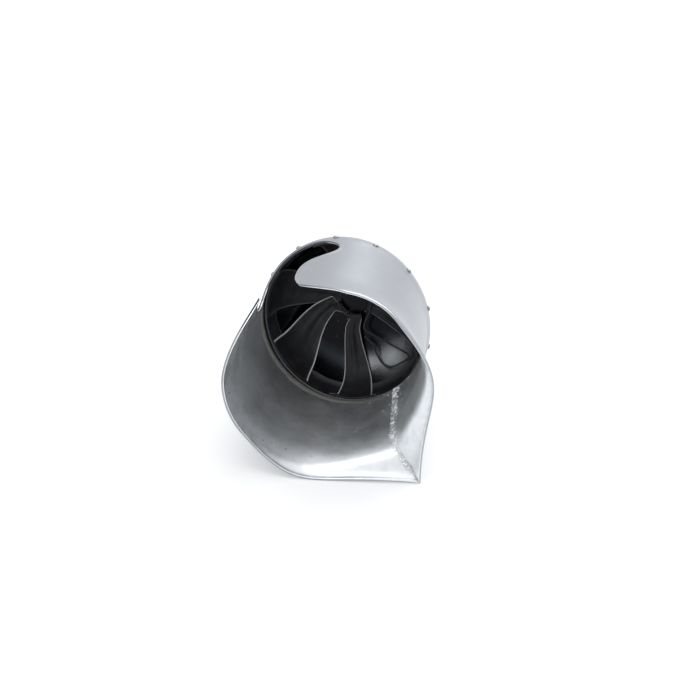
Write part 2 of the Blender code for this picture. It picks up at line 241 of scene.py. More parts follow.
@dataclass
class ShellForm:
    """The smooth outside of the helmet, which every other piece is set against."""

    skull_width: float = 0.208
    skull_front: float = 0.109
    skull_back: float = 0.1125
    crown_height: float = 0.258
    waist_height: float = 0.150
    tail_flare: float = 0.0715
    brow_height: float = 0.166
    eye_reach: float = 0.0665
    cheek_setback: float = 0.0325
    cheek_tip_height: float = 0.0157
    cheek_sweep: float = 0.0500
    round_handle: float = 0.552
    wedge_flank: float = 0.622
    wedge_across: float = 0.750
    wedge_along: float = 0.462
    curve_steps: int = 12
    curve: list[tuple[float, ...]] = field(init=False)

    def __post_init__(self) -> None:
        """Keep the smooth run of the stations."""
        self.curve = smooth_curve(STATIONS, self.curve_steps)

    @property
    def top(self) -> float:
        """The level at which the dome starts."""
        return len(STATIONS) - 1.0

    def station_at(self, level: float) -> Station:
        """Return the station at a level counted in table rows."""
        place = max(0.0, min(level, self.top)) * self.curve_steps
        index = min(int(place), len(self.curve) - 2)
        share = place - index
        pair = zip(self.curve[index], self.curve[index + 1])
        return Station(*(low + (high - low) * share for low, high in pair))

    def plan(self, station: Station, angle: float) -> Triple:
        """Return x, y and the share of the way back, 0 at the ear and 1 at the nape."""
        turn = math.radians(abs(angle))
        side = -1.0 if angle < 0.0 else 1.0
        half = station.width * self.skull_width / 2
        if turn <= math.pi / 2:
            ahead = station.front * self.skull_front
            return side * half * math.sin(turn), -ahead * math.cos(turn), 0.0
        share = min(1.0, turn / (math.pi / 2) - 1.0)
        rest = 1.0 - share
        flank = self.round_handle + (self.wedge_flank - self.round_handle) * station.keel
        across = self.round_handle + (self.wedge_across - self.round_handle) * station.keel
        along = 1.0 + (self.wedge_along - 1.0) * station.keel
        first, second = 3 * rest ** 2 * share, 3 * rest * share ** 2
        out = rest ** 3 + first + second * across
        back = first * flank + second * along + share ** 3
        reach = station.back * self.skull_back + station.flare * self.tail_flare
        return side * half * out, reach * back, back

    def point(self, level: float, angle: float) -> Vector:
        """Return a point of the outside at a level and an angle round the helmet."""
        if level > self.top:
            climb = min(level - self.top, 1.0) * math.pi / 2
            x, y, _ = self.plan(STATIONS[-1], angle)
            base = STATIONS[-1].nape * self.waist_height
            height = base + (self.crown_height - base) * math.sin(climb)
            return Vector((x * math.cos(climb), y * math.cos(climb), height))
        station = self.station_at(level)
        x, y, back = self.plan(station, angle)
        far, share = station.nape, back ** 2
        if abs(angle) < 90.0:
            far, share = station.cheek, math.cos(math.radians(angle)) ** 2
        height = self.waist_height * (station.flank + (far - station.flank) * share)
        return Vector((x, y, height))

    def normal(self, level: float, angle: float) -> Vector:
        """Return the outward normal of the outside."""
        small = 0.01
        rise = self.point(level + small, angle) - self.point(level - small, angle)
        along = self.point(level, angle + small) - self.point(level, angle - small)
        return along.cross(rise).normalized()

    def inside(self, level: float, angle: float, depth: float) -> Vector:
        """Return a point this deep under the outside, along its normal."""
        return self.point(level, angle) - self.normal(level, angle) * depth

    def level_at(self, height: float) -> float:
        """Return the level at which the skull has this height."""
        base = STATIONS[-1].nape * self.waist_height
        if height >= base:
            climb = math.asin(min(1.0, (height - base) / (self.crown_height - base)))
            return self.top + climb / (math.pi / 2)
        low, high = self.top - 2.0, self.top
        for _ in range(30):
            middle = (low + high) / 2
            if self.point(middle, 180.0).z < height:
                low = middle
            else:
                high = middle
        return low

    def even_levels(self, rows: int) -> list[float]:
        """Return levels from the tail's edge to the crown, evenly spaced along the surface."""
        fine = 4 * rows
        levels = [step * (self.top + 1.0) / fine for step in range(fine + 1)]
        reach = [0.0]
        for low, high in zip(levels, levels[1:]):
            parts = [(self.point(high, angle) - self.point(low, angle)).length
                     for angle in (10.0, 90.0, 179.0)]
            reach.append(reach[-1] + sum(parts) / len(parts))
        even: list[float] = []
        index = 0
        for row in range(rows + 1):
            goal = reach[-1] * row / rows
            while index < fine - 1 and reach[index + 1] < goal:
                index += 1
            share = (goal - reach[index]) / (reach[index + 1] - reach[index])
            even.append(levels[index] + (levels[index + 1] - levels[index]) * min(1.0, share))
        return even

    def face_outline(self, steps: int = 14) -> list[tuple[float, float]]:
        """Return half of the face opening as x, z points, from the brow to below the cheek."""
        rise = self.brow_height - self.cheek_tip_height
        reach = self.eye_reach - self.cheek_setback
        eye = [(self.cheek_setback * row.inner + reach * row.outer,
                self.cheek_tip_height + rise * row.up) for row in EYE_OUTLINE]
        cheek = [(row.across * self.skull_width / 2,
                  self.cheek_tip_height - row.down * self.cheek_sweep) for row in CHEEK_EDGE]
        bridge = smooth_curve((eye[-1], cheek[0]), steps)[1:-1]
        return smooth_curve(eye, steps) + bridge + smooth_curve(cheek, steps)


def wrap(angle: float) -> float:
    """Return an angle held between -180 and 180 degrees."""
    return (angle + 180.0) % 360.0 - 180.0


def grid(columns: int, rows: int, place: Callable[[float, float], Vector]) -> BMesh:
    """Make a grid of quads and lay it where a rule says.

    Args:
        columns: Faces along the first way.
        rows: Faces along the second way.
        place: Gives the place of a vertex from its two shares, each 0 to 1.

    Returns:
        The mesh, with its shares kept in the float layers across and along.
    """
    mesh = bmesh.new()
    bmesh.ops.create_grid(mesh, x_segments=columns, y_segments=rows, size=0.5)
    across = mesh.verts.layers.float.new("across")
    along = mesh.verts.layers.float.new("along")
    for vertex in mesh.verts:
        vertex[across] = round((vertex.co.x + 0.5) * columns) / columns
        vertex[along] = round((vertex.co.y + 0.5) * rows) / rows
        vertex.co = place(vertex[across], vertex[along])
    return mesh


def add_object(name: str, data: ID) -> Object:
    """Make an object at the origin from its data and link it to the scene."""
    made = bpy.data.objects.new(name, data)
    bpy.context.scene.collection.objects.link(made)
    return made


def make_object(name: str, bm: BMesh, materials: Sequence[Material],
                sharp: float = 50.0) -> Object:
    """Lay a mesh down with the helmet and make it an object at the origin.

    Args:
        name: The piece's name.
        bm: The mesh in the helmet's own frame; it is freed.
        materials: The piece's materials, the first of them on every face.
        sharp: Degrees between faces past which an edge is shaded sharp.

    Returns:
        The new object.
    """
    bmesh.ops.transform(bm, matrix=LAID_DOWN, verts=bm.verts[:])
    mesh = bpy.data.meshes.new(name)
    bm.to_mesh(mesh)
    bm.free()
    for material in materials:
        mesh.materials.append(material)
    shade(mesh, sharp)
    return add_object(name, mesh)


def shade(mesh: Mesh, sharp: float) -> None:
    """Shade a mesh smooth, but sharp where its faces meet at more than these degrees."""
    mesh.shade_smooth()
    mesh.set_sharp_from_angle(angle=math.radians(sharp))


def add_modifier(item: Object, name: str, kind: str, **settings: object) -> None:
    """Add a modifier to an object and set its properties."""
    made = item.modifiers.new(name, kind)
    for key, value in settings.items():
        setattr(made, key, value)


def bake(item: Object, sharp: float) -> None:
    """Apply every modifier of an object to its mesh and shade the result."""
    graph = bpy.context.evaluated_depsgraph_get()
    mesh = bpy.data.meshes.new_from_object(item.evaluated_get(graph), depsgraph=graph)
    item.modifiers.clear()
    item.data = mesh
    shade(mesh, sharp)


def close_outward(bm: BMesh) -> None:
    """Point every face of a closed mesh outwards."""
    bmesh.ops.recalc_face_normals(bm, faces=bm.faces[:])


class NodeKit:
    """Short calls for building one node tree."""

    def __init__(self, tree: NodeTree) -> None:
        """Keep the tree to build in."""
        self.tree = tree

    def node(self, kind: str, feeds: dict[str | int, object] | None = None,
             **settings: object) -> Node:
        """Add a node, set its properties, then link or set the inputs that feeds names."""
        made = self.tree.nodes.new(kind)
        for key, value in settings.items():
            setattr(made, key, value)
        for key, value in (feeds or {}).items():
            self.link(value, made.inputs[key])
        return made

    def link(self, source: object, target: object) -> None:
        """Link a socket, or set a plain value on it."""
        if isinstance(source, NodeSocket):
            self.tree.links.new(source, target)
        else:
            target.default_value = source

    def math(self, operation: str, first: object, second: object = 0.0,
             clamp: bool = False) -> NodeSocket:
        """Add a Math node and return its result."""
        feeds = {0: first, 1: second}
        return self.node("ShaderNodeMath", feeds, operation=operation, use_clamp=clamp).outputs[0]

    def step(self, value: object, low: float, high: float, first: float = 0.0,
             last: float = 1.0) -> NodeSocket:
        """Add a smooth step from first at low to last at high."""
        feeds = dict(enumerate((value, low, high, first, last)))
        return self.node("ShaderNodeMapRange", feeds, interpolation_type="SMOOTHSTEP").outputs[0]

    def noise(self, vector: object, scale: float, detail: float = 3.0,
              roughness: float = 0.5) -> NodeSocket:
        """Add a noise of features about 1/scale metres apart and return its value."""
        feeds = {"Vector": vector, "Scale": scale, "Detail": detail, "Roughness": roughness}
        return self.node("ShaderNodeTexNoise", feeds).outputs[0]

    def mix(self, share: object, first: object, second: object) -> NodeSocket:
        """Mix two colours and return the result."""
        pair = [(*entry, 1.0) if isinstance(entry, tuple) else entry for entry in (first, second)]
        feeds = {0: share, 6: pair[0], 7: pair[1]}
        return self.node("ShaderNodeMix", feeds, data_type="RGBA").outputs[2]

    def attribute(self, name: str) -> NodeSocket:
        """Return the value of a mesh attribute."""
        return self.node("ShaderNodeAttribute", attribute_name=name).outputs["Fac"]

    def object_place(self, turn: Matrix | None = None) -> NodeSocket:
        """Return Object coordinates, turned if a matrix is given."""
        place = self.node("ShaderNodeTexCoord").outputs["Object"]
        if turn is None:
            return place
        feeds = {"Vector": place, "Rotation": turn.to_euler()}
        return self.node("ShaderNodeMapping", feeds, vector_type="POINT").outputs[0]

    def bump(self, shader: Node, height: object, strength: float,
             distance: float) -> None:
        """Roughen a shader's surface by a height."""
        feeds = {"Strength": strength, "Distance": distance, "Height": height}
        self.link(self.node("ShaderNodeBump", feeds).outputs[0], shader.inputs["Normal"])


class ShaderGroup:
    """A shader node group with named inputs and outputs, shared by finishes."""

    name: str
    inputs: tuple[str, ...]
    outputs: tuple[str, ...]

    def effect(self, kit: NodeKit, given: NodeOutputs) -> tuple[NodeSocket, ...]:
        """Return a socket for each output, worked out from the given inputs."""
        raise NotImplementedError

    def build(self) -> NodeTree:
        """Return the group, built once."""
        tree = bpy.data.node_groups.get(self.name)
        if tree:
            return tree
        tree = bpy.data.node_groups.new(self.name, "ShaderNodeTree")
        for way, names in (("INPUT", self.inputs), ("OUTPUT", self.outputs)):
            for name in names:
                tree.interface.new_socket(name, in_out=way, socket_type="NodeSocketFloat")
        kit = NodeKit(tree)
        results = self.effect(kit, kit.node("NodeGroupInput").outputs)
        kit.node("NodeGroupOutput", dict(zip(self.outputs, results)))
        return tree


class BrushedGroup(ShaderGroup):
    """The marks of a hand that polished sheet steel round the helmet's axis."""

    name = "hand_polish"
    inputs = ("Streaks", "Blotches")
    outputs = ("Rough", "Height")

    def effect(self, kit: NodeKit, given: NodeOutputs) -> tuple[NodeSocket, ...]:
        """Return the change in roughness and the marks' height."""
        place = kit.object_place(LAID_DOWN.to_3x3().inverted())
        stretch = kit.node("ShaderNodeMapping", {"Vector": place, "Scale": (1.0, 1.0, 9.0)},
                           vector_type="POINT")
        fine = kit.noise(stretch.outputs[0], 95.0, 4.0, 0.62)
        broad = kit.noise(place, 26.0, 3.0, 0.55)
        streaks = kit.math("MULTIPLY", kit.math("SUBTRACT", fine, 0.5), given["Streaks"])
        blotches = kit.math("MULTIPLY", kit.math("SUBTRACT", broad, 0.5), given["Blotches"])
        height = kit.math("ADD", fine, kit.math("MULTIPLY", broad, 2.0))
        return kit.math("ADD", streaks, blotches), height


class GrainGroup(ShaderGroup):
    """Leather's fine grain and slow creases."""

    name = "leather_grain"
    inputs = ("Scale",)
    outputs = ("Height", "Wear")

    def effect(self, kit: NodeKit, given: NodeOutputs) -> tuple[NodeSocket, ...]:
        """Return the grain's height and the share of wear."""
        place = kit.object_place()
        cells = kit.node("ShaderNodeTexVoronoi", {"Vector": place, "Scale": given["Scale"]},
                         feature="DISTANCE_TO_EDGE")
        grain = kit.step(cells.outputs["Distance"], 0.0, 0.30)
        slow = kit.noise(place, 55.0, 3.0, 0.6)
        return kit.math("ADD", grain, kit.math("MULTIPLY", slow, 1.6)), slow


def principled(name: str) -> tuple[Material, NodeKit, Node]:
    """Make a material and return it with its node kit and shader."""
    made = bpy.data.materials.new(name)
    made.use_nodes = True
    tree = made.node_tree
    return made, NodeKit(tree), tree.nodes["Principled BSDF"]


@dataclass(frozen=True)
class SteelFinish:
    """Bare sheet steel polished by hand, with a darker line a hem's width in from the border and
    small stains.
    """

    name: str
    colour: Triple
    stain: Triple = (0.30, 0.30, 0.30)
    roughness: float = 0.34
    streaks: float = 0.10
    blotches: float = 0.12
    stained: float = 0.35
    bump: float = 0.10
    # Colour of the waist ridge inside: partly a heat tint, partly a painted sheen.
    heat_tint_and_sheen: Triple | None = None
    tinted: float = 0.9
    # Inside the skull: partly its own dark finish, partly painted shade. The crown's near-black
    # colour is painted shade.
    skull: Triple | None = None
    skull_roughness: float = 0.22
    crown: Triple = (0.012, 0.012, 0.014)
    line: float = 0.55
    line_reach: tuple[float, ...] = (2.9, 3.3, 3.9, 4.5)  # millimetres in from the border
    mottled: float = 0.12
    spots: tuple[Spot, ...] = ()

    def build(self) -> Material:
        """Return the finish's material."""
        made, kit, shader = principled(self.name)
        place = kit.object_place()
        polish = kit.node("ShaderNodeGroup", {"Streaks": self.streaks, "Blotches": self.blotches},
                          node_tree=BrushedGroup().build())
        # A darker, sunken line a hem's width in from the border.
        edge = kit.attribute("edge")
        start, full, fading, end = self.line_reach
        line = kit.math("MULTIPLY", kit.step(edge, start, full),
                        kit.step(edge, fading, end, 1.0, 0.0))
        pits = kit.step(kit.noise(place, 210.0, 2.0, 0.7), 0.66, 0.76)
        where = kit.step(kit.noise(place, 31.0, 2.0, 0.5), 0.52, 0.68)
        pitted = kit.math("MULTIPLY", kit.math("MULTIPLY", pits, where), self.stained)
        weld = kit.math("MULTIPLY", kit.attribute("weld"), kit.noise(place, 260.0, 2.0, 0.7))
        soot = kit.step(weld, 0.30, 0.55, 0.0, 0.55)
        dark = kit.math("MAXIMUM", kit.math("MULTIPLY", line, self.line),
                        kit.math("MAXIMUM", pitted, soot))
        for spot in self.spots:
            gap = kit.node("ShaderNodeVectorMath", {0: place, 1: spot.place}, operation="DISTANCE")
            ragged = kit.math("ADD", gap.outputs["Value"],
                              kit.math("MULTIPLY", kit.noise(place, 420.0, 2.0), spot.radius))
            mark = kit.step(ragged, spot.radius, 1.6 * spot.radius, 0.9, 0.0)
            dark = kit.math("MAXIMUM", dark, mark)
        mottle = kit.step(kit.noise(place, 75.0, 4.0, 0.65), 0.35, 0.75, 1.0, 1.0 - self.mottled)
        colour = kit.mix(mottle, self.stain, self.colour)
        rough = kit.math("ADD", polish.outputs["Rough"], self.roughness)
        # The waist ridge: partly heat tint, partly painted sheen, and rougher.
        if self.heat_tint_and_sheen:
            tint = kit.math("MULTIPLY", kit.attribute("waist"), self.tinted)
            colour = kit.mix(tint, colour, self.heat_tint_and_sheen)
            rough = kit.math("ADD", rough, kit.math("MULTIPLY", tint, 0.25))
        # Painted shade inside the skull, partly also its own dark finish, with deeper painted
        # shade at the crown and none at the painted lit patch.
        if self.skull:
            above = kit.attribute("skull")
            colour = kit.mix(above, colour, self.skull)
            colour = kit.mix(kit.attribute("crown"), colour, self.crown)
            drop = kit.math("MULTIPLY", above, self.skull_roughness - self.roughness)
            rough = kit.math("ADD", rough, drop)
        kit.link(kit.mix(dark, colour, self.stain), shader.inputs["Base Color"])
        kit.link(kit.math("ADD", rough, kit.math("MULTIPLY", dark, 0.25), clamp=True),
                 shader.inputs["Roughness"])
        shader.inputs["Metallic"].default_value = 1.0
        height = kit.math("SUBTRACT", polish.outputs["Height"], kit.math("MULTIPLY", dark, 2.5))
        kit.bump(shader, height, self.bump, 0.0006)
        return made


@dataclass(frozen=True)
class LeatherFinish:
    """Black leather with grain, soft wear and pale cut edges, partly their own colour and partly a
    painted highlight.
    """

    name: str
    colour: Triple = (0.011, 0.011, 0.013)
    worn: Triple = (0.020, 0.021, 0.025)
    # The cut edges: partly their own paler colour, partly a painted highlight.
    cut: Triple = (0.75, 0.74, 0.72)
    roughness: float = 0.42
    gloss: float = 0.27
    grain_scale: float = 900.0
    bump: float = 0.30

    def build(self) -> Material:
        """Return the finish's material."""
        made, kit, shader = principled(self.name)
        grain = kit.node("ShaderNodeGroup", {"Scale": self.grain_scale},
                         node_tree=GrainGroup().build())
        wear = kit.step(grain.outputs["Wear"], 0.42, 0.70)
        body = kit.mix(wear, self.colour, self.worn)
        # Pale cut edges, partly a painted highlight.
        edge = kit.attribute("cut")
        kit.link(kit.mix(edge, body, self.cut), shader.inputs["Base Color"])
        shader.inputs["Specular IOR Level"].default_value = self.gloss
        kit.link(kit.math("ADD", kit.math("MULTIPLY", wear, -0.10), self.roughness),
                 shader.inputs["Roughness"])
        kit.bump(shader, grain.outputs["Height"], self.bump, 0.0005)
        return made


@dataclass(frozen=True)
class CordFinish:
    """Black cord of laid-up strands."""

    name: str
    colour: Triple = (0.010, 0.010, 0.011)
    light: Triple = (0.050, 0.050, 0.052)

    def build(self) -> Material:
        """Return the finish's material."""
        made, kit, shader = principled(self.name)
        place = kit.object_place()
        wave = kit.node("ShaderNodeTexWave", {"Vector": place, "Scale": 260.0, "Distortion": 1.5},
                        wave_type="BANDS", bands_direction="DIAGONAL")
        fuzz = kit.noise(place, 1800.0, 2.0, 0.6)
        strands = kit.math("MULTIPLY", wave.outputs["Fac"], kit.math("ADD", fuzz, 0.5))
        kit.link(kit.mix(strands, self.colour, self.light), shader.inputs["Base Color"])
        shader.inputs["Roughness"].default_value = 0.62
        kit.bump(shader, strands, 0.5, 0.0004)
        return made


def place_piece(item: Object, slot: Slot, *nodes: str) -> None:
    """Put a piece on the model, and hide the nodes that it stands for."""
    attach(item, "root")
    if nodes:
        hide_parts(*nodes)
    LOG.info("%s: %d faces", item.name, len(getattr(item.data, "polygons", ())))


@dataclass
class Shell:
    """Skull, cheeks and tail as one sheet, with a hemmed border all round its opening."""

    form: ShellForm
    outside: Material
    inside: Material
    wall: float = 0.0020
    hem_wall: float = 0.0030
    hem_width: float = 0.0036
    hem_rise: float = 0.0004
    hem_rows: tuple[tuple[float, float], ...] = (
        (0.10, 0.9), (0.25, 1.0), (0.72, 1.0), (0.92, 0.7), (1.0, 0.2))
    face_fade: float = 0.03
    # A painted lit patch: near this place the inside of the skull is kept pale, as where light
    # falls on it.
    lit_patch_place: Triple = (0.006, 0.090, 0.215)
    lit_patch_reach: float = 0.028
    # Where the skull's dark finish and painted shade start above the waist, and where the crown's
    # deeper painted shade starts.
    black_above: float = 0.007
    black_fade: float = 0.005
    crown_start: float = 0.222
    crown_fade: float = 0.018
    # Where the waist ridge's heat tint and painted sheen lie.
    tint_above: float = 0.0015
    tint_reach: float = 0.0065
    weld_reach: float = 0.008
    weld_top: float = 0.152
    columns: int = 216
    rows: int = 132
    tail_steps: int = 420

    def sheet(self) -> BMesh:
        """Return the whole outside as a closed bowl of quads."""
        levels = self.form.even_levels(self.rows)
        made = grid(self.columns, self.rows,
                    lambda u, v: self.form.point(levels[round(v * self.rows)], 360.0 * u - 180.0))
        bmesh.ops.remove_doubles(made, verts=made.verts[:], dist=0.02 * MILLIMETRE)
        return made

    def border(self, sheet: BMesh) -> tuple[list[Vector], list[Vector]]:
        """Return the border as closely spaced points, and its three sharp corners."""
        tree = BVHTree.FromBMesh(sheet)
        half: list[Vector] = []
        for x, z in self.form.face_outline():
            hit = tree.ray_cast(Vector((x, -0.5, z)), Vector((0.0, 1.0, 0.0)))[0]
            if hit is None or hit.y > 0.0:
                break
            half.append(hit)
        last = half[-1]
        start = math.degrees(math.asin(last.x / (STATIONS[0].width * self.form.skull_width / 2)))
        tail = [self.form.point(0.0, start + (180.0 - start) * step / self.tail_steps)
                for step in range(self.tail_steps + 1)]
        half += tail
        mirrored = [Vector((-point.x, point.y, point.z)) for point in half]
        corners = [tail[0], tail[-1], Vector((-tail[0].x, tail[0].y, tail[0].z))]
        return half + mirrored, corners

    def in_opening(self) -> Callable[[Vector], bool]:
        """Return a test of whether a point lies in front of the face opening."""
        half = self.form.face_outline(6)
        low = half[-1][1] - 0.2
        loop = half + [(half[-1][0], low)]
        loop += [(-x, z) for x, z in reversed(loop)]

        def test(point: Vector) -> bool:
            """Count the crossings of a level line with the outline."""
            if point.y >= 0.0 or abs(point.x) > half[-1][0] or point.z > self.form.brow_height:
                return False
            inside = False
            for (x0, z0), (x1, z1) in zip(loop, loop[1:] + loop[:1]):
                if (z0 > point.z) != (z1 > point.z):
                    if point.x < x0 + (point.z - z0) * (x1 - x0) / (z1 - z0):
                        inside = not inside
            return inside
        return test

    def cut_back(self, sheet: BMesh, border: KDTree) -> list[BMEdge]:
        """Cut the sheet along a line one hem's width in from the border and return its edges."""
        opening = self.in_opening()
        far: dict[BMVert, float] = {}
        for vertex in sheet.verts:
            gap = border.find(vertex.co)[2]
            far[vertex] = (-gap if opening(vertex.co) else gap) - self.hem_width
        cuts = []
        for edge in sheet.edges[:]:
            first, second = far[edge.verts[0]], far[edge.verts[1]]
            if first * second < 0.0:
                vertex = edge.verts[0]
                made = bmesh.utils.edge_split(edge, vertex, first / (first - second))[1]
                cuts.append(made)
        for vertex in cuts:
            far[vertex] = 0.0
        bmesh.ops.connect_verts(sheet, verts=cuts)
        gone = [face for face in sheet.faces
                if sum(far[vertex] for vertex in face.verts) < 0.0]
        bmesh.ops.delete(sheet, geom=gone, context="FACES")
        rim = [vertex for vertex in sheet.verts
               if any(edge.is_boundary for edge in vertex.link_edges)]
        bmesh.ops.remove_doubles(sheet, verts=rim, dist=0.5 * MILLIMETRE)
        return [edge for edge in sheet.edges if edge.is_boundary]

    def hem(self, sheet: BMesh, edges: list[BMEdge], border: KDTree,
            corners: list[Vector]) -> None:
        """Grow the hem from the cut line out to the border, raised a little on both faces."""
        sheet.normal_update()
        weight = sheet.verts.layers.deform.verify()
        foot = {vertex: (vertex.co.copy(), vertex.normal.copy())
                for edge in edges for vertex in edge.verts}
        goal = {vertex: border.find(place)[0] for vertex, (place, _) in foot.items()}
        for corner in corners:
            goal[min(foot, key=lambda vertex: (foot[vertex][0] - corner).length)] = corner
        row = {vertex: vertex for vertex in foot}
        for share, lift in self.hem_rows:
            made = bmesh.ops.extrude_edge_only(sheet, edges=edges)["geom"]
            fresh = {item: None for item in made if isinstance(item, BMVert)}
            edges = [item for item in made if isinstance(item, BMEdge)
                     and all(end in fresh for end in item.verts)]
            moved = {}
            for vertex in fresh:
                before = next(other for edge in vertex.link_edges
                              for other in (edge.other_vert(vertex),) if other in row)
                source = row[before]
                place, normal = foot[source]
                raised = self.hem_rise * lift * ease(0.5 - place.y / self.face_fade)
                vertex.co = place.lerp(goal[source], share) + normal * raised
                vertex[weight][0] = lift
                moved[vertex] = source
            row = moved

    def mark(self, sheet: BMesh, border: KDTree) -> None:
        """Keep as attributes how far the border is and where the weld lies, with the masks inside:
        the skull's dark finish and painted shade, the crown's deeper painted shade, a painted lit
        patch that stays pale, and the waist ridge's heat tint and painted sheen.
        """
        names = ("edge", "waist", "weld", "skull", "crown")
        edge, waist, weld, skull, crown = [sheet.verts.layers.float.new(name) for name in names]
        lit_patch_place = Vector(self.lit_patch_place)
        for vertex in sheet.verts:
            place = vertex.co
            over = place.z - self.form.waist_height
            # The painted shade is full away from the painted lit patch and gone at its middle.
            black = 1.0 - math.exp(-((place - lit_patch_place).length / self.lit_patch_reach) ** 2)
            vertex[skull] = ease((over - self.black_above) / self.black_fade) * black
            vertex[crown] = ease((place.z - self.crown_start) / self.crown_fade) * black
            vertex[edge] = border.find(place)[2] / MILLIMETRE
            # The waist ridge's heat tint and painted sheen.
            vertex[waist] = ease(1.2 - abs(over - self.tint_above) / self.tint_reach)
            behind = place.y > 0.0 and place.z < self.weld_top
            vertex[weld] = ease(1.0 - abs(place.x) / self.weld_reach) if behind else 0.0

    def build(self) -> None:
        """Make the shell."""
        sheet = self.sheet()
        points, corners = self.border(sheet)
        border = KDTree(len(points))
        for index, point in enumerate(points):
            border.insert(point, index)
        border.balance()
        edges = self.cut_back(sheet, border)
        self.hem(sheet, edges, border, corners)
        self.mark(sheet, border)
        shell = make_object("steel_shell", sheet, (self.outside, self.inside))
        group = shell.vertex_groups.new(name="hem")
        add_modifier(shell, "wall", "SOLIDIFY", thickness=self.hem_wall, offset=-1.0,
                     use_even_offset=False, vertex_group=group.name,
                     thickness_vertex_group=self.wall / self.hem_wall,
                     material_offset=1, material_offset_rim=0)
        bake(shell, 50.0)
        place_piece(shell, Slot.STEEL, "shell")


@dataclass
class WeldSeam:
    """The crumbly bead inside the tail, from the waist to the tip, with spatter beside it."""

    form: ShellForm
    steel: Material
    wall: float = 0.0020
    half_width: float = 0.0046
    height: float = 0.0017
    ripple: float = 0.0026
    keel_slope: float = 0.9
    sink: float = 0.0004
    top_level: float = 6.35
    levels: float = 6.15
    soot: float = 0.55
    columns: int = 12
    rows: int = 260
    drops: int = 90
    seed: int = 11

    def path(self, share: float) -> tuple[Vector, Vector, Vector]:
        """Return a place on the inside of the keel, its inward normal and the way along."""
        level = self.top_level - share * self.levels
        here = self.form.inside(level, NAPE, self.wall * 0.9)
        ahead = self.form.inside(max(0.0, level - 0.02), NAPE, self.wall * 0.9)
        inward = -self.form.normal(level, NAPE)
        inward.x = 0.0
        return here, inward.normalized(), (ahead - here).normalized()

    def bead(self) -> BMesh:
        """Return the bead as a low ridge, its foot sunk in the wall."""
        steps = [self.path(row / self.rows) for row in range(self.rows + 1)]

        def place(u: float, v: float) -> Vector:
            """Return a point of the bead's rippled skin."""
            here, inward, along = steps[round(v * self.rows)]
            turn = math.pi * u
            ripple = 1.0 + 0.22 * math.sin(math.tau * v * 0.17 / self.ripple)
            seed = here * 520.0 + Vector((math.cos(turn), math.sin(turn), 0.0)) * 0.9
            rough = ripple + 0.95 * noise.noise(seed) + 0.55 * noise.noise(seed * 2.7)
            end = ease(min(v, 1.0 - v) * 22.0)
            side = along.cross(inward)
            across = -math.cos(turn) * self.half_width * (0.60 + 0.50 * rough) * (1.0 - 0.50 * v)
            rise = math.sin(turn) * self.height * rough * end
            lean = abs(across) * self.keel_slope * v
            return here + side * across + inward * (rise + lean - self.sink)
        return grid(self.columns, self.rows, place)

    def spatter(self, bm: BMesh) -> None:
        """Add small drops of metal beside the upper seam and along the waist ridge."""
        chance = random.Random(self.seed)
        for _ in range(self.drops):
            share = chance.random() ** 1.6
            level = 6.3 - 4.2 * share
            spread = 0.010 * chance.gauss(0.0, 1.0) * (1.6 - share)
            here = self.form.point(level, 180.0)
            angle = wrap(180.0 + math.degrees(spread / max(0.05, here.y)))
            place = self.form.inside(level, angle, self.wall)
            size = chance.uniform(0.0003, 0.0009)
            made = bmesh.ops.create_icosphere(bm, subdivisions=1, radius=size)["verts"]
            bmesh.ops.translate(bm, verts=made, vec=place)

    def build(self) -> None:
        """Make the weld."""
        bm = self.bead()
        close_outward(bm)
        self.spatter(bm)
        weld = bm.verts.layers.float.new("weld")
        for vertex in bm.verts:
            vertex[weld] = self.soot
        place_piece(make_object("tail_weld", bm, (self.steel,), 80.0), Slot.STEEL)


@dataclass
class Rivets:
    """Round-headed rivets that hold the lining band, their shanks running in through it."""

    form: ShellForm
    steel: Material
    count: int = 13
    first: float = 6.0
    height: float = 0.175
    head: float = 0.00375
    rise: float = 0.00216
    seat: float = 0.0003
    shank: float = 0.0017
    depth: float = 0.0047
    sides: int = 28
    off_border: float = 20.0  # millimetres, past any line at the shell's border

    def profile(self) -> list[Vector]:
        """Return the outline of a rivet from the middle of its head to its inner end."""
        turns = [math.radians(90.0 - 10.0 * step) for step in range(10)]
        line = [(self.head * math.cos(turn), self.seat + self.rise * math.sin(turn))
                for turn in turns]
        line += [(self.head * 0.93, self.seat), (self.shank, self.seat),
                 (self.shank, -self.depth), (0.0, -self.depth)]
        return [Vector((reach, 0.0, height)) for reach, height in line]

    def build(self) -> None:
        """Make every rivet where its node is."""
        level = self.form.level_at(self.height)
        for index in range(self.count):
            angle = wrap(self.first + 360.0 * index / self.count)
            turn = self.form.normal(level, angle).to_track_quat("Z", "Y").to_matrix().to_4x4()
            frame = Matrix.Translation(self.form.point(level, angle)) @ turn
            bm = bmesh.new()
            line = [bm.verts.new(place) for place in self.profile()]
            edges = [bm.edges.new(pair) for pair in zip(line, line[1:])]
            bmesh.ops.spin(bm, geom=line + edges, cent=(0.0, 0.0, 0.0),
                           axis=(0.0, 0.0, 1.0), angle=math.tau, steps=self.sides, use_merge=True)
            bmesh.ops.remove_doubles(bm, verts=bm.verts[:], dist=0.005 * MILLIMETRE)
            close_outward(bm)
            bmesh.ops.transform(bm, matrix=frame, verts=bm.verts[:])
            edge = bm.verts.layers.float.new("edge")
            for vertex in bm.verts:
                vertex[edge] = self.off_border
            name = f"rivet_{index + 1:02d}"
            made = make_object(f"lining_{name}", bm, (self.steel,), 40.0)
            place_piece(made, Slot.RIVET, name)


